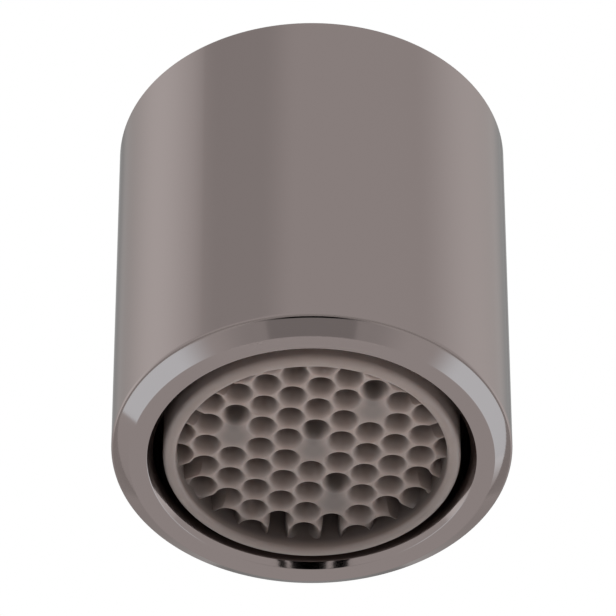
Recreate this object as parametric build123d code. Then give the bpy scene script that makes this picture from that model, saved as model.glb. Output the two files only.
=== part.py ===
from build123d import *
import os
from math import ceil, sqrt

# A tap aerator, outlet down, with its origin at the centre of the outlet face. All sizes are in millimetres.

# Sleeve: a turned shell with a female thread for the spout
thread_diameter = 22.0
thread_depth = 0.54
thread_lead_in = 0.5
sleeve_wall = 1.0
sleeve_height = 25.5
mouth_edge = 0.25
ledge_height = 9.6
ledge_width = 0.99
bore_chamfer = 0.4
outlet_land = 1.06
outlet_chamfer_height = 0.74

# Outlet moulding: a rim round a honeycomb of flow cells, some of them left blank
air_gap = 0.57
rim_wall = 0.75
rim_setback = 0.05
rim_edge = 0.25
face_setback = 0.9
honeycomb_thickness = 2.8
cell_pitch = 1.857
cell_diameter = 1.53
cell_sides = 8
cell_slot_width = 1.05
cell_turn = 34.4
blank_cells = [(0, 0), (1, 2), (-3, 1), (2, -3)]

# Jacket: the insert's housing, with a flange for the ledge and windows for the air
jacket_wall = 1.5
seat_width = 0.7
seat_depth = 2.8
flange_thickness = 1.6
window_count = 6
window_width = 4.4
window_height = 1.8
window_drop = 0.6

# Mixing stars, stacked on the honeycomb
star_height = 0.9
star_hub_diameter = 2.6
star_arm = 0.5
lower_arms = 12
upper_arms = 8

# Jet plate, with the fluted hub of the flow regulator
jet_plate_thickness = 1.2
hub_height = 2.2
jet_count = 14
jet_length = 1.1
jet_width = 0.9

# Elastic ring of the flow regulator
ring_width = 1.8
ring_height = 1.6

# Inlet strainer: a cap with a slotted top
strainer_wall = 0.85
strainer_height = 3.2
strainer_top = 0.8
slot_count = 18
slot_width = 0.7
slot_length = 3.0
slot_margin = 0.6

# Flat seal
seal_thickness = 1.8

# Clearances
flange_play = 0.16
seal_side_play = 0.06
seal_bore_play = 0.3
nest_play = 0.1
ring_play = 0.2

# Radii, from the thread inwards
thread_radius = thread_diameter / 2
sleeve_radius = thread_radius + sleeve_wall
chamber_radius = thread_radius - thread_depth
flange_radius = chamber_radius - flange_play
outlet_radius = chamber_radius - ledge_width
insert_radius = outlet_radius - air_gap
pocket_radius = insert_radius - rim_wall
bore_radius = insert_radius - jacket_wall
seat_radius = bore_radius + seat_width
nest_radius = seat_radius - nest_play
cap_radius = nest_radius - strainer_wall
ring_radius = cap_radius - ring_play
hub_radius = ring_radius - ring_width - ring_play

# Heights, from the outlet upwards
face_level = rim_setback + face_setback
plate_level = face_level + honeycomb_thickness
flange_top = ledge_height + flange_thickness
seal_top = flange_top + seal_thickness
jet_level = flange_top - seat_depth
jet_top = jet_level + jet_plate_thickness


def turned(*points):
    """A solid of revolution about the axis, from a closed outline of (radius, height) points."""
    outline = Plane.XZ * Polyline(*points, close=True)
    return revolve(make_face(outline), Axis.Z)


def sleeve():
    return turned(
        (outlet_radius, bore_chamfer),
        (outlet_radius + bore_chamfer, 0),
        (outlet_radius + bore_chamfer + outlet_land, 0),
        (sleeve_radius, outlet_chamfer_height),
        (sleeve_radius, sleeve_height - mouth_edge),
        (sleeve_radius - mouth_edge, sleeve_height),
        (thread_radius + thread_lead_in, sleeve_height),
        (thread_radius, sleeve_height - thread_lead_in),
        (thread_radius, seal_top),
        (chamber_radius, seal_top),
        (chamber_radius, ledge_height),
        (outlet_radius, ledge_height),
    )


def cell_centre(column, row):
    """Centre of a cell on the honeycomb's triangular lattice."""
    along = Vector(cell_pitch, 0).rotate(Axis.Z, cell_turn)
    across = along.rotate(Axis.Z, 60)
    return along * column + across * row


def inward_neighbour(column, row):
    """Centre of the neighbouring cell that lies nearest to the axis."""
    steps = [(1, 0), (0, 1), (-1, 1), (-1, 0), (0, -1), (1, -1)]
    around = [cell_centre(column + across, row + up) for across, up in steps]
    return min(around, key=lambda centre: centre.length)


def cell_outlines():
    """The open area of the honeycomb, cut off at the rim's wall.

    A cell whose centre lies beyond the wall would be a sliver: its neighbour gets a slot to the wall instead.
    """
    cell = RegularPolygon(cell_diameter / 2, cell_sides)
    slot = Rectangle(cell_pitch, cell_slot_width)
    rows = ceil(2 * pocket_radius / (sqrt(3) * cell_pitch)) + 1
    outlines = []
    for column in range(-rows, rows + 1):
        for row in range(-rows, rows + 1):
            centre = cell_centre(column, row)
            outside = centre.length > pocket_radius + cell_diameter / 2
            if outside or (column, row) in blank_cells:
                continue
            if centre.length < pocket_radius:
                outlines.append(Pos(centre) * cell)
            else:
                inner = inward_neighbour(column, row)
                outlines.append(Plane((centre + inner) / 2, x_dir=centre - inner) * slot)
    return (Sketch() + outlines) & Circle(pocket_radius)


def outlet_honeycomb():
    body = turned(
        (0, face_level),
        (pocket_radius, face_level),
        (pocket_radius, rim_setback),
        (insert_radius - rim_edge, rim_setback),
        (insert_radius, rim_setback + rim_edge),
        (insert_radius, plate_level),
        (0, plate_level),
    )
    return body - Pos(0, 0, face_level) * extrude(cell_outlines(), honeycomb_thickness)


def mixing_star(level, arms):
    """A hub with arms that reach the jacket's bore."""
    length = bore_radius - nest_play
    arm = Pos(length / 2, 0) * Rectangle(length, star_arm)
    outline = Circle(star_hub_diameter / 2) + [Rot(0, 0, 360 * k / arms) * arm for k in range(arms)]
    return Pos(0, 0, level) * extrude(outline, star_height)


def insert_jacket():
    body = turned(
        (bore_radius, plate_level),
        (insert_radius, plate_level),
        (insert_radius, ledge_height),
        (flange_radius, ledge_height),
        (flange_radius, flange_top),
        (seat_radius, flange_top),
        (seat_radius, jet_level),
        (bore_radius, jet_level),
    )
    window_level = jet_level - window_drop - window_height / 2
    window = Pos(0, 0, window_level) * Box(2 * jacket_wall, window_width, window_height)
    around = PolarLocations(insert_radius - jacket_wall / 2, window_count)
    return body - [place * window for place in around]


def jet_plate():
    """A plate with a hub. Each jet runs down a flute in the hub's side and through the plate."""
    body = turned(
        (0, jet_level),
        (nest_radius, jet_level),
        (nest_radius, jet_top),
        (hub_radius, jet_top),
        (hub_radius, jet_top + hub_height),
        (0, jet_top + hub_height),
    )
    depth = jet_plate_thickness + hub_height
    jet = Pos(0, 0, jet_level + depth / 2) * Box(jet_length, jet_width, depth)
    return body - [place * jet for place in PolarLocations(hub_radius, jet_count)]


def regulator_ring():
    return turned(
        (ring_radius - ring_width, jet_top),
        (ring_radius, jet_top),
        (ring_radius, jet_top + ring_height),
        (ring_radius - ring_width, jet_top + ring_height),
    )


def inlet_strainer():
    top = jet_top + strainer_height
    body = turned(
        (cap_radius, jet_top),
        (nest_radius, jet_top),
        (nest_radius, top),
        (0, top),
        (0, top - strainer_top),
        (cap_radius, top - strainer_top),
    )
    slot = Pos(0, 0, top - strainer_top / 2) * Box(slot_length, slot_width, strainer_top)
    around = PolarLocations(cap_radius - slot_margin - slot_length / 2, slot_count)
    return body - [place * slot for place in around]


def flat_seal():
    return turned(
        (nest_radius + seal_bore_play, flange_top),
        (chamber_radius - seal_side_play, flange_top),
        (chamber_radius - seal_side_play, seal_top),
        (nest_radius + seal_bore_play, seal_top),
    )


pieces = {
    "sleeve": sleeve(),
    "outlet_honeycomb": outlet_honeycomb(),
    "lower_mixing_star": mixing_star(plate_level, lower_arms),
    "upper_mixing_star": mixing_star(plate_level + star_height, upper_arms),
    "insert_jacket": insert_jacket(),
    "jet_plate": jet_plate(),
    "regulator_ring": regulator_ring(),
    "inlet_strainer": inlet_strainer(),
    "flat_seal": flat_seal(),
}

os.makedirs("parts", exist_ok=True)
for name, piece in pieces.items():
    export_step(piece, f"parts/{name}.step")
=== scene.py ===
# %% [markdown]
# A tap aerator screws on the end of a spout. Its metal sleeve holds a plastic insert that mixes air into the
# water and lets it out through a honeycomb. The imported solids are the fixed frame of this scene: they give
# the size and place of each piece, and nothing here moves them. A piece that needs finer edges than its
# solid has is made again in the same place and stands for that solid.

# %% Load the frame
import math
import bmesh
import bpy
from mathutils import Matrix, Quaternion, Vector


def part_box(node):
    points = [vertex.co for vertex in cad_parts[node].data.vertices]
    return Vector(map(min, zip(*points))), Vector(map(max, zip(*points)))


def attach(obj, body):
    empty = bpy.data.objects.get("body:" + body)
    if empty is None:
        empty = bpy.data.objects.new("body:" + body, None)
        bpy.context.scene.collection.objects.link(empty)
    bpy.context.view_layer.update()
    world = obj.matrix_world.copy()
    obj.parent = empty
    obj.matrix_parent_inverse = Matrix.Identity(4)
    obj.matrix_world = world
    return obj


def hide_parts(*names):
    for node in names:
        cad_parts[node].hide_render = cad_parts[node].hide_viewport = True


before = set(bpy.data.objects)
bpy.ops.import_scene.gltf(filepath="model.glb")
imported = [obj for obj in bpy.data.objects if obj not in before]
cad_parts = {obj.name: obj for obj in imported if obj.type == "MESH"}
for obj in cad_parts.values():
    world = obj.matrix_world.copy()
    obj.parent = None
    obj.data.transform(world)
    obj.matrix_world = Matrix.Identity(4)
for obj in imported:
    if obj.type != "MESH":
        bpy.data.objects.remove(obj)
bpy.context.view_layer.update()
scene = bpy.context.scene
MM = 0.001
print("nodes:", sorted(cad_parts))

# %% [markdown]
# Blender's nodes work in linear light, while colours are easier to read as the sRGB hex values of a paint
# program, so one function turns one into the other. A second one adds a node, with its settings and its
# links, to any tree: shader, world, lamp or geometry. A third one gives an empty tree to work in.

# %% Colour and node helpers
GRAPHITE = "#877D7B"


def linear(code):
    """An sRGB hex colour such as #877D7B as linear red, green, blue and alpha."""
    parts = [int(code[start:start + 2], 16) / 255 for start in (1, 3, 5)]
    return [p / 12.92 if p <= 0.04045 else ((p + 0.055) / 1.055) ** 2.4 for p in parts] + [1.0]


def add(tree, kind, inputs=None, **settings):
    """Adds a node. Each input gets a value, a node or socket that is linked to it, or a list of those."""
    node = tree.nodes.new(kind)
    for name, value in settings.items():
        setattr(node, name, value)
    for name, value in (inputs or {}).items():
        sources = value if isinstance(value, list) else [value]
        for source in sources:
            if isinstance(source, bpy.types.Node):
                source = source.outputs[0]
            if isinstance(source, bpy.types.NodeSocket):
                tree.links.new(source, node.inputs[name])
            else:
                node.inputs[name].default_value = value
    return node


def empty_tree(owner):
    """The owner's node tree, with nothing in it."""
    owner.use_nodes = True
    owner.node_tree.nodes.clear()
    return owner.node_tree


print("graphite", GRAPHITE, "in linear light:", [round(part, 3) for part in linear(GRAPHITE)])

# %% [markdown]
# The photograph looks up at the outlet from below and in front, through a long lens. The camera aims at a
# point near the middle of the sleeve's axis. A long lens far away keeps the sleeve's sides nearly parallel,
# as they are there.

# %% Camera
AIM = Vector((-0.23, 0, 12.61)) * MM
CAMERA_DISTANCE = 364.2 * MM
CAMERA_ELEVATION = math.radians(-43.41)
SENSOR_WIDTH = 36
FOCAL_LENGTH = 348

toward_camera = Vector((0, -math.cos(CAMERA_ELEVATION), math.sin(CAMERA_ELEVATION)))
camera = bpy.data.objects.new("camera", bpy.data.cameras.new("camera"))
camera.data.sensor_width = SENSOR_WIDTH
camera.data.lens = FOCAL_LENGTH
camera.location = AIM + toward_camera * CAMERA_DISTANCE
camera.rotation_euler = (-toward_camera).to_track_quat("-Z", "Y").to_euler()
scene.collection.objects.link(camera)
scene.camera = camera
scene.view_settings.view_transform = "Standard"
print("camera at", [round(part / MM, 1) for part in camera.location], "mm")

# %% [markdown]
# The object stands in a white light tent. The camera, and reflections in the metal, see the tent as plain
# white. Diffuse surfaces get less from it, and the rest from the lamps, so that colours come out as written.

# %% Light tent
TENT_LIGHT = 0.33
WHITE = 1.0


def seen_directly(tree):
    """1 for camera, glossy and transmission rays, and 0 for diffuse ones."""
    rays = add(tree, "ShaderNodeLightPath").outputs
    first_two = {0: rays["Is Camera Ray"], 1: rays["Is Glossy Ray"]}
    seen = add(tree, "ShaderNodeMath", first_two, operation="MAXIMUM")
    return add(tree, "ShaderNodeMath", {0: seen, 1: rays["Is Transmission Ray"]}, operation="MAXIMUM")


scene.world = bpy.data.worlds.new("light_tent")
tent = empty_tree(scene.world)
tent_strength = add(tent, "ShaderNodeMapRange", {
    "Value": seen_directly(tent), "To Min": TENT_LIGHT, "To Max": WHITE,
})
cloth = add(tent, "ShaderNodeBackground", {"Color": (1, 1, 1, 1), "Strength": tent_strength})
add(tent, "ShaderNodeOutputWorld", {"Surface": cloth})
print("tent:", TENT_LIGHT, "for diffuse light,", WHITE, "for what is seen")

# %% [markdown]
# The part stands on a pale floor, outlet down. The photograph looks up at the outlet, so the floor's paint is
# like a one-way screen: from above it is pale, keeps the object's shadow and fades into the tent, and from
# below it is clear.

# %% Floor paint
FLOOR_RADIUS = 0.6
FADE_START = 0.06
FLOOR_GLOW = 0.42

floor_paint = bpy.data.materials.new("pale_floor_paint")
tree = empty_tree(floor_paint)
place = add(tree, "ShaderNodeTexCoord").outputs["Object"]
away = add(tree, "ShaderNodeVectorMath", {0: place}, operation="LENGTH").outputs["Value"]
fade = add(tree, "ShaderNodeMapRange", {
    "Value": away, "From Min": FADE_START, "From Max": FLOOR_RADIUS,
}, interpolation_type="SMOOTHSTEP")
below = add(tree, "ShaderNodeNewGeometry").outputs["Backfacing"]
clear_share = add(tree, "ShaderNodeMath", {0: fade, 1: below}, operation="MAXIMUM")
matt = add(tree, "ShaderNodeBsdfDiffuse", {"Color": linear("#F4F3F1")})
glow = add(tree, "ShaderNodeEmission", {"Strength": FLOOR_GLOW})
pale = add(tree, "ShaderNodeAddShader", {0: matt, 1: glow})
clear = add(tree, "ShaderNodeBsdfTransparent")
screen = add(tree, "ShaderNodeMixShader", {0: clear_share, 1: pale, 2: clear})
add(tree, "ShaderNodeOutputMaterial", {"Surface": screen})
print("made", floor_paint.name)

# %% [markdown]
# The floor is two flat rings in the same place, which let all light through to the outlet. The camera sees
# the first one, whose small hole is hidden under the part. Reflections see the second one. Its hole is a
# little wider than the sleeve, so that the metal near the outlet mirrors what is below the floor.

# %% Floor
FLOOR_LEVEL = -0.05 * MM
FLOOR_STEPS = 96
HIDDEN_HOLE = 1.0 * MM
MIRROR_HOLE = 12.9 * MM


def sheet(name, inner_radius):
    """A flat ring of floor, painted, that casts no shadow and gives no light."""
    shape = bmesh.new()
    inner, outer = [bmesh.ops.create_circle(shape, segments=FLOOR_STEPS, radius=radius)["verts"]
                    for radius in (inner_radius, FLOOR_RADIUS)]
    for step in range(FLOOR_STEPS):
        shape.faces.new((inner[step - 1], outer[step - 1], outer[step], inner[step]))
    bmesh.ops.translate(shape, verts=shape.verts, vec=(0, 0, FLOOR_LEVEL))
    ring = bpy.data.objects.new(name, bpy.data.meshes.new(name))
    shape.to_mesh(ring.data)
    shape.free()
    ring.data.materials.append(floor_paint)
    ring.visible_diffuse = ring.visible_transmission = ring.visible_shadow = False
    scene.collection.objects.link(ring)
    print(name, "from", round(inner_radius / MM, 1), "mm, normal", ring.data.polygons[0].normal[:])
    return ring


sheet("floor", HIDDEN_HOLE).visible_glossy = False
sheet("mirrored_floor", MIRROR_HOLE).visible_camera = False

# %% [markdown]
# Polished metal shows its surroundings, so the look of the sleeve is made by what stands round it. The wall
# sees a ring of the tent above, and the outlet's chamfer sees a ring below. Two tall lamps with soft sides,
# up at the left and right, give the wall its two pale bands. Two tilted lamps, low at the sides, give the
# chamfer its bright patches, which fade at their ends. A lamp adds its light to the white behind it. Two
# small key lamps, one close below in front and one behind, light the plastic and don't show in reflections.
# The camera sees no lamp.

# %% Lamps
SKY = "#D5F2FF"
HAZE = "#F4FDFF"
# Width and height of a key lamp, as shares of its distance
KEY_SHAPE = (0.9, 0.7)


def direction(azimuth, elevation):
    """Unit vector, with azimuth 0 towards the camera's side and 90 to its right, in degrees."""
    a, e = math.radians(azimuth), math.radians(elevation)
    return Vector((math.sin(a) * math.cos(e), -math.cos(a) * math.cos(e), math.sin(e)))


def softbox(name, azimuth, elevation, distance, size, radiance, colour="#FFFFFF", roll=0, fades=None):
    """A rectangular lamp that faces the object. Fades are the shares of its width that dim at either side."""
    lamp = bpy.data.lights.new(name, "AREA")
    lamp.shape = "RECTANGLE"
    lamp.size, lamp.size_y = size
    lamp.color = linear(colour)[:3]
    lamp.energy = math.pi * radiance * lamp.size * lamp.size_y
    if fades:
        tree = empty_tree(lamp)
        spot = add(tree, "ShaderNodeNewGeometry").outputs["Parametric"]
        across = add(tree, "ShaderNodeSeparateXYZ", {0: spot}).outputs["X"]
        sides = [add(tree, "ShaderNodeMapRange", {
            "Value": across, "From Min": side, "From Max": abs(side - fade),
        }, interpolation_type="SMOOTHSTEP") for side, fade in enumerate(fades)]
        both = add(tree, "ShaderNodeMath", {0: sides[0], 1: sides[1]}, operation="MULTIPLY")
        glow = add(tree, "ShaderNodeEmission", {"Strength": both})
        add(tree, "ShaderNodeOutputLight", {"Surface": glow})
    holder = bpy.data.objects.new(name, lamp)
    holder.location = direction(azimuth, elevation) * distance
    facing = holder.location.to_track_quat("Z", "Y") @ Quaternion((0, 0, 1), math.radians(roll))
    holder.rotation_euler = facing.to_euler()
    holder.visible_camera = False
    scene.collection.objects.link(holder)
    return holder


softbox("left_band_lamp", azimuth=-108, elevation=28, distance=0.8, size=(1.15, 1.4), radiance=0.68,
        colour=HAZE, fades=(0.5, 0.5))
softbox("right_band_lamp", azimuth=120, elevation=28, distance=0.8, size=(1.4, 1.4), radiance=0.6,
        colour=HAZE, fades=(0.5, 0.5))
softbox("left_patch_lamp", azimuth=-97, elevation=-38, distance=0.5, size=(0.46, 0.24), radiance=1.06,
        colour=SKY, roll=-40, fades=(0.02, 0.35))
softbox("right_patch_lamp", azimuth=119, elevation=-26, distance=0.5, size=(0.74, 0.24), radiance=1.06,
        colour=SKY, roll=43, fades=(0.22, 0.28))
key_lamps = {"low_key_lamp": (15, -61, 0.043, 2.7), "back_key_lamp": (150, -30, 0.2, 1.0)}
for name, (azimuth, elevation, distance, radiance) in key_lamps.items():
    key_size = [share * distance for share in KEY_SHAPE]
    softbox(name, azimuth, elevation, distance, key_size, radiance).visible_glossy = False
print("lamps:", sorted(lamp.name for lamp in bpy.data.lights))

# %% [markdown]
# Boards change the reflections, as they do in a studio. A grey flag up in front, on the left, shades the
# wall, and one behind shades its outlines. A grey board below in front, with a wider and paler one behind it,
# darkens the near part of the chamfer. A black one just under the floor draws the thin dark line on the
# rolled edge above that chamfer. Each board is seen from one side only, and only in reflections.

# %% Boards
BLACK = 0.0
HIGH_DISTANCE = 0.95
LOW_DISTANCE = 0.5
WIDE_DISTANCE = 0.55
EDGE_PLACE = Vector((0, -14.2, -2)) * MM
DOWN = Vector((0, 0, -1))


def board(name, place, away, size, radiance, soft=0.0):
    """A flat board with its clear back turned away. A soft one fades into the tent's white at its sides."""
    mesh = bpy.data.meshes.new(name)
    corners = [(x * size[0] / 2, y * size[1] / 2, 0) for x, y in ((-1, -1), (1, -1), (1, 1), (-1, 1))]
    mesh.from_pydata(corners, [], [(0, 1, 2, 3)])
    paint = bpy.data.materials.new(name + "_paint")
    tree = empty_tree(paint)
    strength = radiance
    if soft:
        spot = add(tree, "ShaderNodeTexCoord").outputs["Object"]
        across = add(tree, "ShaderNodeSeparateXYZ", {0: spot}).outputs["X"]
        aside = add(tree, "ShaderNodeMath", {0: across}, operation="ABSOLUTE")
        strength = add(tree, "ShaderNodeMapRange", {
            "Value": aside, "From Min": (1 - soft) * size[0] / 2, "From Max": size[0] / 2,
            "To Min": radiance, "To Max": WHITE,
        }, interpolation_type="SMOOTHSTEP")
    glow = add(tree, "ShaderNodeEmission", {"Strength": strength})
    painted_side = add(tree, "ShaderNodeNewGeometry").outputs["Backfacing"]
    clear = add(tree, "ShaderNodeBsdfTransparent")
    face = add(tree, "ShaderNodeMixShader", {0: painted_side, 1: clear, 2: glow})
    add(tree, "ShaderNodeOutputMaterial", {"Surface": face})
    mesh.materials.append(paint)
    panel = bpy.data.objects.new(name, mesh)
    panel.location = place
    panel.rotation_euler = away.to_track_quat("Z", "Y").to_euler()
    panel.visible_camera = panel.visible_diffuse = panel.visible_shadow = False
    scene.collection.objects.link(panel)


flag_way, low_way, back_way = direction(-43, 43), direction(0, -66), direction(176, 43)
board("flag", flag_way * HIGH_DISTANCE, flag_way, size=(0.84, 0.7), radiance=0.82, soft=0.65)
board("low_board", low_way * LOW_DISTANCE, low_way, size=(0.27, 0.24), radiance=0.58)
board("back_board", back_way * HIGH_DISTANCE, back_way, size=(1.0, 0.7), radiance=0.5, soft=0.5)
board("wide_board", low_way * WIDE_DISTANCE, low_way, size=(0.74, 0.33), radiance=0.8, soft=0.45)
board("edge_board", EDGE_PLACE, DOWN, size=(13 * MM, 2.2 * MM), radiance=BLACK, soft=0.8)

# %% [markdown]
# The far edge of the bore shows three short black strokes. Three upright black cards under the outlet give
# them, and only what looks from behind them to the front sees them. A skirt of white boards, seen from
# outside, hides the cards from the chamfer at the sides and at the back.

# %% Black cards and skirt
CARD_LINE = -7.4
FORWARD = Vector((0, -1, 0))
SKIRT_RADIUS = 10.4 * MM
SKIRT_TOP = -0.1 * MM
SKIRT_HEIGHT = 32 * MM
SKIRT_START, SKIRT_END, SKIRT_STEP = 50, 310, 20

# Each card's left and right ends, top and bottom, in mm
black_cards = {
    "left": (-5.4, -2.95, -2.7, -23.0),
    "middle": (-2.04, 2.95, -0.6, -30.4),
    "right": (3.65, 4.87, -2.7, -23.0),
}
for name, (start, end, top, bottom) in black_cards.items():
    middle = Vector(((start + end) / 2, CARD_LINE, (top + bottom) / 2)) * MM
    card_size = ((end - start) * MM, (top - bottom) * MM)
    board(f"black_board_{name}", middle, FORWARD, card_size, radiance=BLACK)

skirt_size = (2 * SKIRT_RADIUS * math.tan(math.radians(SKIRT_STEP / 2)), SKIRT_HEIGHT)
skirt_middle = Vector((0, 0, SKIRT_TOP - SKIRT_HEIGHT / 2))
for azimuth in range(SKIRT_START, SKIRT_END + 1, SKIRT_STEP):
    outward = direction(azimuth, 0)
    middle = outward * SKIRT_RADIUS + skirt_middle
    board(f"skirt_board_{azimuth}", middle, -outward, skirt_size, radiance=WHITE)
print("cards:", list(black_cards), "and a skirt from", SKIRT_START, "to", SKIRT_END, "degrees")

# %% [markdown]
# The sleeve is turned brass with a polished graphite plating: a dark, slightly warm mirror. Under the plating
# the lathe leaves faint rings, finer than a hair. They are drawn a little coarser here, so that they show at
# all. Patches of haze make some places a little less sharp in their reflections than others.

# %% Polished graphite plating
LATHE_RING = 0.12 * MM
RING_DEPTH = 0.0004 * MM
HAZE_PATCH = 4.0 * MM
POLISHED, HAZY = 0.06, 0.11
EDGE_TINT = "#C5C3C2"


def plated_metal(name, colour):
    """A dark mirror with faint rings round the Z axis."""
    material = bpy.data.materials.new(name)
    tree = empty_tree(material)
    place = add(tree, "ShaderNodeTexCoord").outputs["Object"]
    parts = add(tree, "ShaderNodeSeparateXYZ", {0: place}).outputs
    across = add(tree, "ShaderNodeCombineXYZ", {"X": parts["X"], "Y": parts["Y"]})
    radius = add(tree, "ShaderNodeVectorMath", {0: across}, operation="LENGTH").outputs["Value"]
    section = add(tree, "ShaderNodeCombineXYZ", {"X": radius, "Y": parts["Z"]})
    rings = add(tree, "ShaderNodeTexNoise", {
        "Vector": section, "Scale": 1 / LATHE_RING,
    }, noise_dimensions="2D")
    haze = add(tree, "ShaderNodeTexNoise", {"Vector": place, "Scale": 1 / HAZE_PATCH, "Detail": 3.0})
    sheen = add(tree, "ShaderNodeMapRange", {"Value": haze, "To Min": POLISHED, "To Max": HAZY})
    grooves = add(tree, "ShaderNodeBump", {"Height": rings, "Strength": 0.25, "Distance": RING_DEPTH})
    skin = add(tree, "ShaderNodeBsdfPrincipled", {
        "Base Color": linear(colour), "Metallic": 1.0, "Roughness": sheen, "Normal": grooves,
        "Specular Tint": linear(EDGE_TINT),
    })
    add(tree, "ShaderNodeOutputMaterial", {"Surface": skin})
    return material


graphite_plating = plated_metal("polished_graphite_plating", GRAPHITE)
print("made", graphite_plating.name)

# %% [markdown]
# The outlet's honeycomb is a triangular lattice of cells. Its pitch and turn, and the places that are left
# blank, are needed for the shade painted into the plastic as well as for the cells, so they come first. The
# insert is a loose fit in the sleeve, so its lattice lies a little off the axis.

# %% Honeycomb lattice
PITCH = 1.857
TURN = math.radians(34.4)
SIXTH = math.radians(60)
BLANK_CELLS = [(0, 0), (1, 2), (-3, 1), (2, -3)]
LATTICE_SHIFT = Vector((0.1, 0.08, 0))


def lattice_place(column, row):
    """Centre of a honeycomb cell, in mm."""
    across = Vector((column + row * math.cos(SIXTH), row * math.sin(SIXTH), 0)) * PITCH
    return Quaternion((0, 0, 1), TURN) @ across + LATTICE_SHIFT


blank_places = [lattice_place(*cell) for cell in BLANK_CELLS]
print("blank places:", [[round(part, 2) for part in spot] for spot in blank_places], "mm")

# %% [markdown]
# Acetal lets a little light through. Here the light and shade that this gives in the honeycomb are painted
# into
# its colour: the thin lips of the cells are painted paler, and the thick blank places, the wall in front of
# each, the depth of the wells and the corner by the rim are painted darker, as shade. The whole moulding is
# painted slightly darker from front to back, where the light falls off. Each rule gives a measure, a stretch
# of it in mm, the tones at its two ends, and whether the change is smooth.

# %% Painted shade of the honeycomb
SMOOTH, STRAIGHT = "SMOOTHSTEP", "LINEAR"
WALL_PLACE = Vector((0, -1.0, 1.6))

# Painted shade and light over the whole honeycomb: darker deep in the wells, towards the back and in the far
# corner by the rim, paler on the lips of the cells
painted_shade_rules = {
    "well": ("level", (1.2, 2.2), (1.0, 0.7), STRAIGHT),
    "back": ("back", (-4.0, 7.0), (1.0, 0.84), SMOOTH),
    "corner": ("back", (1.0, 6.0), (0.8, 0.4), STRAIGHT),
    "rim_wall": ("level", (0.2, 1.0), (1.0, "corner"), SMOOTH),
    "lip": ("level", (0.95, 1.3), (1.2, 1.0), STRAIGHT),
    "face": ("radius", (7.0, 8.0), ("lip", "rim_wall"), SMOOTH),
    "pocket": ("radius", (8.2, 8.4), ("face", 1.0), STRAIGHT),
}
# Painted shade round each blank place and on the wall in front of it
painted_blank_shade_rules = {
    "blank": ("from_blank", (0.3, 1.4), (0.57, 1.0), SMOOTH),
    "wall": ("from_wall", (0.4, 1.0), (0.42, 1.0), SMOOTH),
}


def toned(tree, shade, measures, rules):
    """The shade times the tone of each rule. A rule that another one names as a tone only acts there."""
    made = {}
    for label, (measure, (start, end), tones, change) in rules.items():
        first, last = [made.pop(tone, tone) for tone in tones]
        made[label] = add(tree, "ShaderNodeMapRange", {
            "Value": measures[measure], "From Min": start * MM, "From Max": end * MM,
            "To Min": first, "To Max": last,
        }, interpolation_type=change)
    for tone in made.values():
        shade = add(tree, "ShaderNodeMath", {0: shade, 1: tone}, operation="MULTIPLY")
    return shade


def painted_honeycomb_shade(tree, place, shade):
    """The painted shade and light of the pierced moulding at a place, as a factor on its colour."""
    parts = add(tree, "ShaderNodeSeparateXYZ", {0: place}).outputs
    plan = add(tree, "ShaderNodeVectorMath", {0: place, 1: (1, 1, 0)}, operation="MULTIPLY")
    radius = add(tree, "ShaderNodeVectorMath", {0: plan}, operation="LENGTH").outputs["Value"]
    measures = {"level": parts["Z"], "back": parts["Y"], "radius": radius}
    shade = toned(tree, shade, measures, painted_shade_rules)
    for spot in blank_places:
        wall = (spot + WALL_PLACE) * MM
        away = add(tree, "ShaderNodeVectorMath", {0: plan, 1: spot * MM}, operation="DISTANCE").outputs
        beside = add(tree, "ShaderNodeVectorMath", {0: place, 1: wall}, operation="DISTANCE").outputs
        measures = {"from_blank": away["Value"], "from_wall": beside["Value"]}
        shade = toned(tree, shade, measures, painted_blank_shade_rules)
    return shade


print("tones:", list(painted_shade_rules), "and", list(painted_blank_shade_rules), "for each blank place")

# %% [markdown]
# The insert is moulded acetal, a waxy plastic, so the webs between the cells look soft. The mould leaves a
# fine grain, drawn a little coarser here so that it shows, and the melt leaves a faint cloud.

# %% Moulded acetal
MOULD_GRAIN = 0.07 * MM
GRAIN_DEPTH = 0.003 * MM
MELT_CLOUD = 2.5 * MM
GLOW_DEPTH = 0.3 * MM
WARM_GREY = "#8A7B75"


def moulded_acetal(name, colour, pierced=False):
    """Waxy plastic. The pierced piece also gets the honeycomb's painted shade and light."""
    material = bpy.data.materials.new(name)
    tree = empty_tree(material)
    place = add(tree, "ShaderNodeTexCoord").outputs["Object"]
    grain = add(tree, "ShaderNodeTexNoise", {"Vector": place, "Scale": 1 / MOULD_GRAIN, "Detail": 2.0})
    cloud = add(tree, "ShaderNodeTexNoise", {"Vector": place, "Scale": 1 / MELT_CLOUD, "Detail": 3.0})
    shade = add(tree, "ShaderNodeMapRange", {"Value": cloud, "To Min": 0.94, "To Max": 1.06})
    if pierced:
        shade = painted_honeycomb_shade(tree, place, shade)
    tone = add(tree, "ShaderNodeHueSaturation", {"Color": linear(colour), "Value": shade})
    sheen = add(tree, "ShaderNodeMapRange", {"Value": grain, "To Min": 0.38, "To Max": 0.52})
    bumps = add(tree, "ShaderNodeBump", {"Height": grain, "Strength": 0.3, "Distance": GRAIN_DEPTH})
    skin = add(tree, "ShaderNodeBsdfPrincipled", {
        "Base Color": tone, "Roughness": sheen, "Normal": bumps, "IOR": 1.48,
        "Subsurface Weight": 1.0, "Subsurface Radius": (1.0, 0.85, 0.75), "Subsurface Scale": GLOW_DEPTH,
    })
    add(tree, "ShaderNodeOutputMaterial", {"Surface": skin})
    return material


# The pierced piece's colour carries the honeycomb's painted shade and light
pierced_acetal = moulded_acetal("warm_grey_pierced_acetal", WARM_GREY, pierced=True)
grey_acetal = moulded_acetal("warm_grey_moulded_acetal", WARM_GREY)
pale_acetal = moulded_acetal("pale_moulded_acetal", "#C9C9C6")
print("made", pierced_acetal.name, grey_acetal.name, pale_acetal.name)

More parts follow.
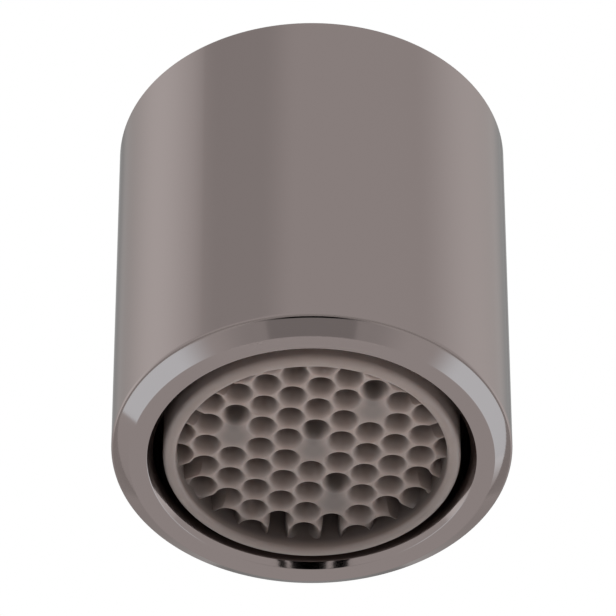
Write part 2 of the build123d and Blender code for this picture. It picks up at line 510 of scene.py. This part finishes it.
# %% [markdown]
# The flat seal and the regulator's ring are moulded black rubber: nearly matt, with a faint bloom of grey
# dust from the mould.

# %% Moulded black rubber
BLOOM_PATCH = 1.2 * MM
RUBBER_GRAIN = 0.12 * MM
RUBBER_DEPTH = 0.01 * MM

black_rubber = bpy.data.materials.new("moulded_black_rubber")
tree = empty_tree(black_rubber)
place = add(tree, "ShaderNodeTexCoord").outputs["Object"]
bloom = add(tree, "ShaderNodeTexNoise", {"Vector": place, "Scale": 1 / BLOOM_PATCH, "Detail": 4.0})
grain = add(tree, "ShaderNodeTexNoise", {"Vector": place, "Scale": 1 / RUBBER_GRAIN, "Detail": 2.0})
tone = add(tree, "ShaderNodeMix", {0: bloom, 6: linear("#1A1A1B"), 7: linear("#2F2F30")}, data_type="RGBA")
bumps = add(tree, "ShaderNodeBump", {"Height": grain, "Strength": 0.5, "Distance": RUBBER_DEPTH})
skin = add(tree, "ShaderNodeBsdfPrincipled", {
    "Base Color": tone.outputs[2], "Roughness": 0.65, "Normal": bumps, "IOR": 1.52,
})
add(tree, "ShaderNodeOutputMaterial", {"Surface": skin})
print("made", black_rubber.name)

# %% [markdown]
# The sleeve, the seal and the bodies of the moulded pieces are turned shapes. A lathe gives them: an outline
# of radius and height goes round the axis. Real edges are never knife-sharp, and the light that they catch is
# what makes a small part look real, so each corner of an outline is rounded by its own radius. A holding ring
# on each side of a rounding keeps the flat faces beside it flat in the shading. The outer sizes of each piece
# are those of the solid that it stands for.

# %% Lathe helpers
LATHE_STEPS = 240
ARC_STEPS = 6
HOLD = 0.02


def solid_sizes(node):
    """The radius, bottom and top of a round solid, in mm."""
    lowest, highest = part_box(node)
    return [round(side / MM, 3) for side in (highest[0], lowest[2], highest[2])]


def rounded(corners):
    """The outline in mm with its corners (radius, height, rounding) made into arcs."""
    outline = []
    for here, (radius, height, rounding) in enumerate(corners):
        corner = Vector((radius, height))
        if not rounding:
            outline.append(corner)
            continue
        back = (Vector(corners[here - 1][:2]) - corner).normalized()
        ahead = (Vector(corners[(here + 1) % len(corners)][:2]) - corner).normalized()
        half_angle = back.angle(ahead) / 2
        reach = rounding / math.tan(half_angle)
        centre = corner + (back + ahead).normalized() * rounding / math.sin(half_angle)
        start, end = corner + back * reach - centre, corner + ahead * reach - centre
        outline.append(corner + back * (reach + HOLD))
        outline += [centre + start.slerp(end, step / ARC_STEPS) * rounding for step in range(ARC_STEPS + 1)]
        outline.append(corner + ahead * (reach + HOLD))
    return outline


def turned(name, corners):
    """A closed mesh piece, turned about the Z axis from an outline with rounded corners."""
    shape = bmesh.new()
    rings = []
    for radius, height in rounded(corners):
        angles = [2 * math.pi * step / LATHE_STEPS for step in range(LATHE_STEPS)]
        if radius == 0:
            rings.append([shape.verts.new((0, 0, height * MM))] * LATHE_STEPS)
        else:
            places = [(radius * math.cos(a) * MM, radius * math.sin(a) * MM, height * MM) for a in angles]
            rings.append([shape.verts.new(place) for place in places])
    for ring, following in zip(rings, rings[1:] + rings[:1]):
        for step in range(LATHE_STEPS):
            corners_round = [ring[step - 1], ring[step], following[step], following[step - 1]]
            face = list(dict.fromkeys(corners_round))
            if len(face) > 2:
                shape.faces.new(face)
    bmesh.ops.recalc_face_normals(shape, faces=shape.faces)
    piece = bpy.data.objects.new(name, bpy.data.meshes.new(name))
    shape.to_mesh(piece.data)
    shape.free()
    piece.data.shade_smooth()
    scene.collection.objects.link(piece)
    print(name, [round(side / MM, 2) for side in piece.dimensions], "mm")
    return piece


print("lathe:", LATHE_STEPS, "steps round")

# %% [markdown]
# Threads, cells and slots follow a rule, so Geometry Nodes make them. Each tree takes a turned body and
# named sizes, and cuts or adds its forms with a mesh boolean. These helpers make an empty tree with such
# inputs, close it, and turn the modifier's result into a plain mesh. Closing a tree welds points that the
# boolean left on top of each other, and makes an edge crisp where its faces meet at an angle or only one of
# them is level.

# %% Geometry Nodes helpers
CRISP_ANGLE = math.radians(32)
LEVEL = 0.99999
WELD = 0.0003 * MM


def new_tree(name, sizes):
    """A tree that takes a mesh, named sizes and a material. Gives it with its inputs by name."""
    tree = bpy.data.node_groups.new(name, "GeometryNodeTree")
    tree.interface.new_socket("Geometry", in_out="OUTPUT", socket_type="NodeSocketGeometry")
    tree.interface.new_socket("Geometry", in_out="INPUT", socket_type="NodeSocketGeometry")
    for label, value in sizes.items():
        kind = "NodeSocketInt" if isinstance(value, int) else "NodeSocketFloat"
        tree.interface.new_socket(label, in_out="INPUT", socket_type=kind)
    tree.interface.new_socket("Material", in_out="INPUT", socket_type="NodeSocketMaterial")
    return tree, add(tree, "NodeGroupInput").outputs


def close_tree(tree, mesh, material):
    """Ends a tree: welded, with crisp edges at angles and round level faces, then plain mesh and material."""
    upright = add(tree, "ShaderNodeSeparateXYZ", {0: add(tree, "GeometryNodeInputNormal")}).outputs["Z"]
    flatness = add(tree, "ShaderNodeMath", {0: upright}, operation="ABSOLUTE")
    level = add(tree, "ShaderNodeMath", {0: flatness, 1: LEVEL}, operation="GREATER_THAN")
    on_faces = add(tree, "GeometryNodeFieldOnDomain", {0: level}, domain="FACE", data_type="FLOAT")
    # An edge gets the mean of its two faces, so a half means that one of them is level
    border = add(tree, "ShaderNodeMath", {0: on_faces, 1: 0.5, 2: 0.25}, operation="COMPARE")
    angle = add(tree, "GeometryNodeInputMeshEdgeAngle").outputs["Unsigned Angle"]
    bent = add(tree, "ShaderNodeMath", {0: angle, 1: CRISP_ANGLE}, operation="GREATER_THAN")
    crisp = add(tree, "ShaderNodeMath", {0: border, 1: bent}, operation="MAXIMUM")
    welded = add(tree, "GeometryNodeMergeByDistance", {"Geometry": mesh, "Distance": WELD})
    smooth = add(tree, "GeometryNodeSetShadeSmooth",
                 {"Geometry": welded, "Shade Smooth": True}, domain="FACE")
    edged = add(tree, "GeometryNodeSetShadeSmooth",
                {"Geometry": smooth, "Selection": crisp, "Shade Smooth": False}, domain="EDGE")
    plain = add(tree, "GeometryNodeRealizeInstances", {"Geometry": edged})
    painted = add(tree, "GeometryNodeSetMaterial", {"Geometry": plain, "Material": material})
    add(tree, "NodeGroupOutput", {"Geometry": painted})


def run_tree(piece, tree, sizes, material):
    """Runs a tree on a piece, by its sockets' identifiers, and keeps the result as the piece's own mesh."""
    modifier = piece.modifiers.new(tree.name, "NODES")
    modifier.node_group = tree
    values = {**sizes, "Material": material}
    for item in tree.interface.items_tree:
        if item.in_out == "INPUT" and item.name in values:
            modifier[item.identifier] = values[item.name]
    graph = bpy.context.evaluated_depsgraph_get()
    mesh = bpy.data.meshes.new_from_object(piece.evaluated_get(graph))
    piece.modifiers.remove(modifier)
    piece.data = mesh
    print(piece.name, len(mesh.polygons), "faces,", [round(side / MM, 2) for side in piece.dimensions], "mm")


print("crisp edges from", round(math.degrees(CRISP_ANGLE)), "degrees")

# %% [markdown]
# The sleeve's outline runs from the outlet's bore, over its curved mouth, the flat land and the large
# chamfer, up the plain wall to the inlet's mouth, and back down inside: the lead-in, the thread's wall, the
# chamber for the seal, and the ledge that carries the insert. The edge between chamfer and wall is rolled
# over more than the other outer edges.

# %% Sleeve body
SLEEVE_RADIUS, OUTLET_LEVEL, SLEEVE_HEIGHT = solid_sizes("sleeve")
SEAL_RADIUS, SEAL_BOTTOM, THREAD_BOTTOM = solid_sizes("flat_seal")
SLEEVE_WALL = 1.0
THREAD_DEPTH = 0.54
LEDGE_WIDTH = 0.99
LEDGE_LEVEL = 9.6
MOUTH_WIDTH = 0.4
MOUTH_HEIGHT = 0.54
LAND_WIDTH = 1.06
CHAMFER_HEIGHT = 0.74
INLET_EDGE = 0.25
LEAD_IN = 0.5
THREAD_WALL = SLEEVE_RADIUS - SLEEVE_WALL
CHAMBER_RADIUS = THREAD_WALL - THREAD_DEPTH
OUTLET_RADIUS = CHAMBER_RADIUS - LEDGE_WIDTH
LAND_RADIUS = OUTLET_RADIUS + MOUTH_WIDTH + LAND_WIDTH

sleeve = turned("turned_sleeve", [
    (OUTLET_RADIUS, MOUTH_HEIGHT, 0.9),
    (OUTLET_RADIUS + MOUTH_WIDTH, OUTLET_LEVEL, 0.1),
    (LAND_RADIUS, OUTLET_LEVEL, 0.05),
    (SLEEVE_RADIUS, CHAMFER_HEIGHT, 0.35),
    (SLEEVE_RADIUS, SLEEVE_HEIGHT - INLET_EDGE, 0.12),
    (SLEEVE_RADIUS - INLET_EDGE, SLEEVE_HEIGHT, 0.08),
    (THREAD_WALL + LEAD_IN, SLEEVE_HEIGHT, 0.04),
    (THREAD_WALL, SLEEVE_HEIGHT - LEAD_IN, 0),
    (THREAD_WALL, THREAD_BOTTOM, 0.05),
    (CHAMBER_RADIUS, THREAD_BOTTOM, 0.05),
    (CHAMBER_RADIUS, LEDGE_LEVEL, 0),
    (OUTLET_RADIUS, LEDGE_LEVEL, 0.1),
])

# %% [markdown]
# The solid has a plain wall at the thread's largest diameter. The real one has a fine right-hand ridge with
# a pitch of 1 mm that winds up the wall. A spiral curve carries a trapezoid outline, which shrinks into the
# wall at both ends, and a union joins the ridge to the sleeve. The ridge's foot is sunk in the wall a little.

# %% Inlet thread
thread_sizes = {
    "Pitch": 1.0 * MM,
    "Turns": 11.2,
    "Wall Radius": THREAD_WALL * MM,
    "First Level": (THREAD_BOTTOM + 0.45) * MM,
    "Ridge Depth": THREAD_DEPTH * MM,
    "Root Width": 0.875 * MM,
    "Crest Width": 0.25 * MM,
    "Fade Turns": 0.6,
    "End Share": 0.05,
}
THREAD_SINK = 0.06 * MM
STEPS_A_TURN = 120

tree, size = new_tree("inlet_thread", thread_sizes)
rise = add(tree, "ShaderNodeMath", {0: size["Pitch"], 1: size["Turns"]}, operation="MULTIPLY")
root = add(tree, "ShaderNodeMath", {0: size["Wall Radius"], 1: THREAD_SINK}, operation="ADD")
spiral = add(tree, "GeometryNodeCurveSpiral", {
    "Resolution": STEPS_A_TURN, "Rotations": size["Turns"],
    "Start Radius": root, "End Radius": root, "Height": rise,
})
lift = add(tree, "ShaderNodeCombineXYZ", {"Z": size["First Level"]})
raised = add(tree, "GeometryNodeSetPosition", {"Geometry": spiral, "Offset": lift})
path = add(tree, "GeometryNodeSetCurveNormal", {"Curve": raised}, mode="Z_UP")
deep = add(tree, "ShaderNodeMath", {0: size["Ridge Depth"], 1: THREAD_SINK}, operation="ADD")
ridge = add(tree, "GeometryNodeCurvePrimitiveQuadrilateral", {
    "Height": deep, "Bottom Width": size["Root Width"], "Top Width": size["Crest Width"], "Offset": 0.0,
}, mode="TRAPEZOID")
half_deep = add(tree, "ShaderNodeMath", {0: deep, 1: 0.5}, operation="MULTIPLY")
stand = add(tree, "ShaderNodeCombineXYZ", {"X": half_deep})
outline = add(tree, "GeometryNodeTransform", {
    "Geometry": ridge, "Translation": stand, "Rotation": (0, 0, math.radians(-90)),
})
along = add(tree, "GeometryNodeSplineParameter").outputs["Factor"]
middle = add(tree, "ShaderNodeMath", {0: along, 1: 0.5}, operation="PINGPONG")
turns = add(tree, "ShaderNodeMath", {0: middle, 1: size["Turns"]}, operation="MULTIPLY")
fade = add(tree, "ShaderNodeMapRange", {
    "Value": turns, "From Max": size["Fade Turns"], "To Min": size["End Share"],
})
sweep = add(tree, "GeometryNodeCurveToMesh", {
    "Curve": path, "Profile Curve": outline, "Scale": fade, "Fill Caps": True,
})
joined = add(tree, "GeometryNodeMeshBoolean", {"Mesh 2": [size["Geometry"], sweep]},
             operation="UNION", solver="MANIFOLD")
close_tree(tree, joined, size["Material"])
run_tree(sleeve, tree, thread_sizes, graphite_plating)
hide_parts("sleeve")
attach(sleeve, "root")

# %% [markdown]
# A moulded hole or slot has a rounded mouth, because a knife edge would not leave the mould whole. Its cutter
# is a prism whose rings open out along a quarter ellipse towards the mouth. A cylinder with a ring for each
# step of the arc gives it: the first ring stands clear of the face, the last one goes right through. For a
# slot, the cylinder has four sides, and is turned and enlarged to a square before it is stretched.

# %% Flared cutter
MOUTH_RINGS = 12
MOUTH_START = math.radians(6)
CLEAR = 0.05 * MM
SLOT_SIDES = 4
SQUARED = {"turn": math.radians(45), "reach": math.sqrt(2)}


def flared_cutter(tree, sides, half_length, half_width, flare, flare_depth, depth, facing,
                  turn=0.0, reach=1.0):
    """A closed cutter with its mouth at z = 0, which faces up (1) or down (-1)."""
    last = MOUTH_RINGS + 2
    prism = add(tree, "GeometryNodeMeshCylinder", {
        "Vertices": sides, "Side Segments": last, "Radius": 1.0, "Depth": 1.0,
    }).outputs["Mesh"]
    place = add(tree, "GeometryNodeInputPosition")
    height = add(tree, "ShaderNodeSeparateXYZ", {0: place}).outputs["Z"]
    ring = add(tree, "ShaderNodeMath", {0: height, 1: -facing * last, 2: last / 2}, operation="MULTIPLY_ADD")
    arc = add(tree, "ShaderNodeMapRange", {
        "Value": ring, "From Min": 1.0, "From Max": last - 1.0, "To Min": MOUTH_START, "To Max": math.pi / 2,
    })
    sine = add(tree, "ShaderNodeMath", {0: arc}, operation="SINE")
    cosine = add(tree, "ShaderNodeMath", {0: arc}, operation="COSINE")
    quarter = add(tree, "ShaderNodeCombineXYZ", {"X": sine, "Y": sine, "Z": cosine})
    start = (1, 1, math.cos(MOUTH_START))
    rest = add(tree, "ShaderNodeVectorMath", {0: start, 1: quarter}, operation="SUBTRACT")
    axes = add(tree, "ShaderNodeCombineXYZ", {"X": flare, "Y": flare, "Z": flare_depth})
    halves = add(tree, "ShaderNodeCombineXYZ", {"X": half_length, "Y": half_width})
    span = add(tree, "ShaderNodeVectorMath", {0: rest, 1: axes, 2: halves}, operation="MULTIPLY_ADD")
    spun = add(tree, "ShaderNodeVectorRotate", {"Vector": place, "Angle": turn}, rotation_type="Z_AXIS")
    wide = add(tree, "ShaderNodeVectorMath", {0: spun, 1: (reach, reach, 0)}, operation="MULTIPLY")
    plan = add(tree, "ShaderNodeVectorMath", {0: wide, 1: (0, 0, 1)}, operation="ADD")
    first = add(tree, "ShaderNodeMath", {0: ring, 1: 0.5}, operation="LESS_THAN")
    through = add(tree, "ShaderNodeMath", {0: ring, 1: last - 0.5}, operation="GREATER_THAN")
    shaped = add(tree, "ShaderNodeVectorMath", {0: span, 1: plan}, operation="MULTIPLY")
    clear = add(tree, "ShaderNodeMath", {0: first, 1: -CLEAR}, operation="MULTIPLY")
    ends = add(tree, "ShaderNodeMath", {0: through, 1: depth, 2: clear}, operation="MULTIPLY_ADD")
    shift = add(tree, "ShaderNodeCombineXYZ", {"Z": ends})
    moved = add(tree, "ShaderNodeVectorMath", {0: shaped, 1: shift}, operation="ADD")
    faced = add(tree, "ShaderNodeVectorMath", {0: moved, 1: (1, 1, -facing)}, operation="MULTIPLY")
    return add(tree, "GeometryNodeSetPosition", {"Geometry": prism, "Position": faced})


print("mouths in", MOUTH_RINGS, "rings")

# %% [markdown]
# The outlet's honeycomb is the piece that the eye goes to. Its body is turned: a rim with rolled edges round
# a face that lies a little deeper.

# %% Honeycomb body
INSERT_RADIUS, RIM_LEVEL, PLATE_TOP = solid_sizes("outlet_honeycomb")
RIM_WIDTH = 0.8
FACE_SETBACK = 0.9
POCKET_RADIUS = INSERT_RADIUS - RIM_WIDTH
FACE_LEVEL = RIM_LEVEL + FACE_SETBACK

honeycomb = turned("honeycomb_outlet", [
    (0, FACE_LEVEL, 0),
    (POCKET_RADIUS, FACE_LEVEL, 0),
    (POCKET_RADIUS, RIM_LEVEL, 0.3),
    (INSERT_RADIUS, RIM_LEVEL, 0.42),
    (INSERT_RADIUS, PLATE_TOP, 0.05),
    (0, PLATE_TOP, 0),
])

# %% [markdown]
# The lattice starts as a square grid of whole numbers, column and row. The blank places are taken out by
# their numbers, and then the grid is sheared to 60 degrees, scaled to the pitch and turned.

# %% Places of the cells
cell_sizes = {
    "Pitch": PITCH * MM,
    "Turn": TURN,
    "Shift Right": LATTICE_SHIFT.x * MM,
    "Shift Back": LATTICE_SHIFT.y * MM,
    "Cell Radius": 0.58 * MM,
    "Flare": 0.42 * MM,
    "Flare Depth": 1.15 * MM,
    "Slot Width": 0.96 * MM,
    "Slot Flare": 0.18 * MM,
    "Round Within": 8.14 * MM,
    "Slots Within": 8.9 * MM,
    "Pocket Radius": POCKET_RADIUS * MM,
    "Face Level": FACE_LEVEL * MM,
    "Depth": (PLATE_TOP - FACE_LEVEL) * MM,
}
LATTICE_ROWS = 6
LATTICE_SPAN = 2 * LATTICE_ROWS

tree, size = new_tree("honeycomb_cells", cell_sizes)
grid = add(tree, "GeometryNodeMeshGrid", {
    "Size X": LATTICE_SPAN, "Size Y": LATTICE_SPAN,
    "Vertices X": LATTICE_SPAN + 1, "Vertices Y": LATTICE_SPAN + 1,
}).outputs["Mesh"]
place = add(tree, "GeometryNodeInputPosition")
for column, row in BLANK_CELLS:
    away = add(tree, "ShaderNodeVectorMath", {0: place, 1: (column, row, 0)}, operation="DISTANCE").outputs
    blank = add(tree, "ShaderNodeMath", {0: away["Value"], 1: 0.5}, operation="LESS_THAN")
    grid = add(tree, "GeometryNodeDeleteGeometry", {"Geometry": grid, "Selection": blank}, domain="POINT")
number = add(tree, "ShaderNodeSeparateXYZ", {0: place}).outputs
lean = {0: number["Y"], 1: math.cos(SIXTH), 2: number["X"]}
sheared = add(tree, "ShaderNodeMath", lean, operation="MULTIPLY_ADD")
upward = add(tree, "ShaderNodeMath", {0: number["Y"], 1: math.sin(SIXTH)}, operation="MULTIPLY")
cell = add(tree, "ShaderNodeCombineXYZ", {"X": sheared, "Y": upward})
spaced = add(tree, "ShaderNodeVectorMath", {0: cell, "Scale": size["Pitch"]}, operation="SCALE")
spun = add(tree, "ShaderNodeVectorRotate", {
    "Vector": spaced, "Angle": size["Turn"],
}, rotation_type="Z_AXIS")
lattice = add(tree, "GeometryNodeSetPosition", {"Geometry": grid, "Position": spun})
print("lattice:", (LATTICE_SPAN + 1) ** 2 - len(BLANK_CELLS), "places, pitch", PITCH, "mm")

# %% [markdown]
# A place near enough to the axis gets a round cell, also where the rim will cut it off. One a little further
# out has no room for a cell, so a slot runs from it to its inner neighbour, along the nearest of the
# lattice's six directions.

# %% Cells and slots
CELL_SIDES = 36

distance = add(tree, "ShaderNodeVectorMath", {0: place}, operation="LENGTH").outputs["Value"]
inside = add(tree, "ShaderNodeMath", {0: distance, 1: size["Round Within"]}, operation="LESS_THAN")
near = add(tree, "ShaderNodeMath", {0: distance, 1: size["Slots Within"]}, operation="LESS_THAN")
crossing = add(tree, "ShaderNodeMath", {0: near, 1: inside}, operation="SUBTRACT")
round_cutter = flared_cutter(tree, CELL_SIDES, size["Cell Radius"], size["Cell Radius"],
                             size["Flare"], size["Flare Depth"], size["Depth"], facing=-1)
cells = add(tree, "GeometryNodeInstanceOnPoints", {
    "Points": lattice, "Selection": inside, "Instance": round_cutter,
})

spot = add(tree, "ShaderNodeSeparateXYZ", {0: place}).outputs
bearing = add(tree, "ShaderNodeMath", {0: spot["Y"], 1: spot["X"]}, operation="ARCTAN2")
from_turn = add(tree, "ShaderNodeMath", {0: bearing, 1: size["Turn"]}, operation="SUBTRACT")
sooner = add(tree, "ShaderNodeMath", {0: from_turn, 1: SIXTH / 2}, operation="ADD")
sixth = add(tree, "ShaderNodeMath", {0: sooner, 1: SIXTH}, operation="SNAP")
way = add(tree, "ShaderNodeMath", {0: sixth, 1: size["Turn"]}, operation="ADD")
half_pitch = add(tree, "ShaderNodeMath", {0: size["Pitch"], 1: 0.5}, operation="MULTIPLY")
half_slot = add(tree, "ShaderNodeMath", {0: size["Slot Width"], 1: 0.5}, operation="MULTIPLY")
slot_cutter = flared_cutter(tree, SLOT_SIDES, half_pitch, half_slot, size["Slot Flare"],
                            size["Flare Depth"], size["Depth"], facing=-1, **SQUARED)
inward = add(tree, "ShaderNodeMath", {0: half_pitch, 1: -1.0}, operation="MULTIPLY")
step_in = add(tree, "GeometryNodeTransform", {
    "Geometry": slot_cutter, "Translation": add(tree, "ShaderNodeCombineXYZ", {"X": inward}),
})
slots = add(tree, "GeometryNodeInstanceOnPoints", {
    "Points": lattice, "Selection": crossing, "Instance": step_in,
    "Rotation": add(tree, "ShaderNodeCombineXYZ", {"Z": way}),
})
print("cells with", CELL_SIDES, "sides, slots with", SLOT_SIDES)

# %% [markdown]
# All cutters are united, moved to the lattice's place, and clipped by a plug that is a hair narrower than the
# pocket. A mouth that meets the face exactly along its tangent would leave slivers, so the cutters stand a
# hair below the face.

# %% Pierced honeycomb
MOUTH_SINK = 0.003 * MM
PLUG_PLAY = 0.002 * MM
PLUG_DEPTH = 20 * MM

wells = add(tree, "GeometryNodeMeshBoolean", {"Mesh 2": [cells, slots]}, operation="UNION", solver="MANIFOLD")
aside = add(tree, "ShaderNodeCombineXYZ", {"X": size["Shift Right"], "Y": size["Shift Back"]})
moved = add(tree, "GeometryNodeTransform", {"Geometry": wells, "Translation": aside})
plug_radius = add(tree, "ShaderNodeMath", {0: size["Pocket Radius"], 1: PLUG_PLAY}, operation="SUBTRACT")
plug = add(tree, "GeometryNodeMeshCylinder", {
    "Vertices": LATHE_STEPS, "Radius": plug_radius, "Depth": PLUG_DEPTH,
}).outputs["Mesh"]
clipped = add(tree, "GeometryNodeMeshBoolean", {"Mesh 2": [moved, plug]},
              operation="INTERSECT", solver="MANIFOLD")
cut_level = add(tree, "ShaderNodeMath", {0: size["Face Level"], 1: MOUTH_SINK}, operation="SUBTRACT")
to_face = add(tree, "ShaderNodeCombineXYZ", {"Z": cut_level})
placed = add(tree, "GeometryNodeTransform", {"Geometry": clipped, "Translation": to_face})
pierced = add(tree, "GeometryNodeMeshBoolean", {"Mesh 1": size["Geometry"], "Mesh 2": placed},
              operation="DIFFERENCE", solver="MANIFOLD")
close_tree(tree, pierced, size["Material"])
run_tree(honeycomb, tree, cell_sizes, pierced_acetal)
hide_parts("outlet_honeycomb")
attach(honeycomb, "root")

# %% [markdown]
# At the other end, under the spout, a strainer cap keeps grit out of the jets. Its top has a wreath of radial
# slots with rounded mouths. It is made as the honeycomb is: a turned cap, and cutters set round a circle.

# %% Inlet strainer
NEST_RADIUS, CAP_BOTTOM, CAP_TOP = solid_sizes("inlet_strainer")
CAP_WALL = 0.85
CAP_ROOF = 0.8
CAP_BORE = NEST_RADIUS - CAP_WALL

strainer = turned("strainer_cap", [
    (CAP_BORE, CAP_BOTTOM, 0),
    (NEST_RADIUS, CAP_BOTTOM, 0.1),
    (NEST_RADIUS, CAP_TOP, 0.3),
    (0, CAP_TOP, 0),
    (0, CAP_TOP - CAP_ROOF, 0),
    (CAP_BORE, CAP_TOP - CAP_ROOF, 0),
])
slot_sizes = {
    "Slot Count": 18,
    "Slot Circle": 5.05 * MM,
    "Slot Length": 3.0 * MM,
    "Slot Width": 0.7 * MM,
    "Mouth": 0.12 * MM,
    "Top Level": CAP_TOP * MM,
    "Depth": CAP_ROOF * MM,
}
tree, size = new_tree("strainer_slots", slot_sizes)
wreath = add(tree, "GeometryNodeMeshCircle", {"Vertices": size["Slot Count"], "Radius": size["Slot Circle"]})
half_length = add(tree, "ShaderNodeMath", {0: size["Slot Length"], 1: 0.5}, operation="MULTIPLY")
half_width = add(tree, "ShaderNodeMath", {0: size["Slot Width"], 1: 0.5}, operation="MULTIPLY")
slot_cutter = flared_cutter(tree, SLOT_SIDES, half_length, half_width, size["Mouth"], size["Mouth"],
                            size["Depth"], facing=1, **SQUARED)
spot = add(tree, "ShaderNodeSeparateXYZ", {0: add(tree, "GeometryNodeInputPosition")}).outputs
bearing = add(tree, "ShaderNodeMath", {0: spot["Y"], 1: spot["X"]}, operation="ARCTAN2")
slots = add(tree, "GeometryNodeInstanceOnPoints", {
    "Points": wreath, "Instance": slot_cutter, "Rotation": add(tree, "ShaderNodeCombineXYZ", {"Z": bearing}),
})
cut_level = add(tree, "ShaderNodeMath", {0: size["Top Level"], 1: MOUTH_SINK}, operation="ADD")
to_top = add(tree, "ShaderNodeCombineXYZ", {"Z": cut_level})
placed = add(tree, "GeometryNodeTransform", {
    "Geometry": add(tree, "GeometryNodeRealizeInstances", {"Geometry": slots}), "Translation": to_top,
})
slotted = add(tree, "GeometryNodeMeshBoolean", {"Mesh 1": size["Geometry"], "Mesh 2": placed},
              operation="DIFFERENCE", solver="MANIFOLD")
close_tree(tree, slotted, size["Material"])
run_tree(strainer, tree, slot_sizes, pale_acetal)
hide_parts("inlet_strainer")
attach(strainer, "root")

# %% [markdown]
# The flat seal lies on the insert's flange, and the spout presses on it. It is a turned ring with soft edges.

# %% Flat seal
SEAL_WIDTH = 2.1
SEAL_BORE = SEAL_RADIUS - SEAL_WIDTH

seal = turned("rubber_seal", [
    (SEAL_BORE, SEAL_BOTTOM, 0.2),
    (SEAL_RADIUS, SEAL_BOTTOM, 0.2),
    (SEAL_RADIUS, THREAD_BOTTOM, 0.25),
    (SEAL_BORE, THREAD_BOTTOM, 0.25),
])
seal.data.materials.append(black_rubber)
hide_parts("flat_seal")
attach(seal, "root")

# %% [markdown]
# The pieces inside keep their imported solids, because little of them shows. They get the finish of the real
# ones.

# %% Finish of the inner pieces
inner_finishes = {
    "insert_jacket": grey_acetal,
    "lower_mixing_star": pale_acetal,
    "upper_mixing_star": pale_acetal,
    "jet_plate": pale_acetal,
    "regulator_ring": black_rubber,
}
for node, finish in inner_finishes.items():
    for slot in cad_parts[node].material_slots:
        slot.material = finish
    print(node, "in", finish.name)
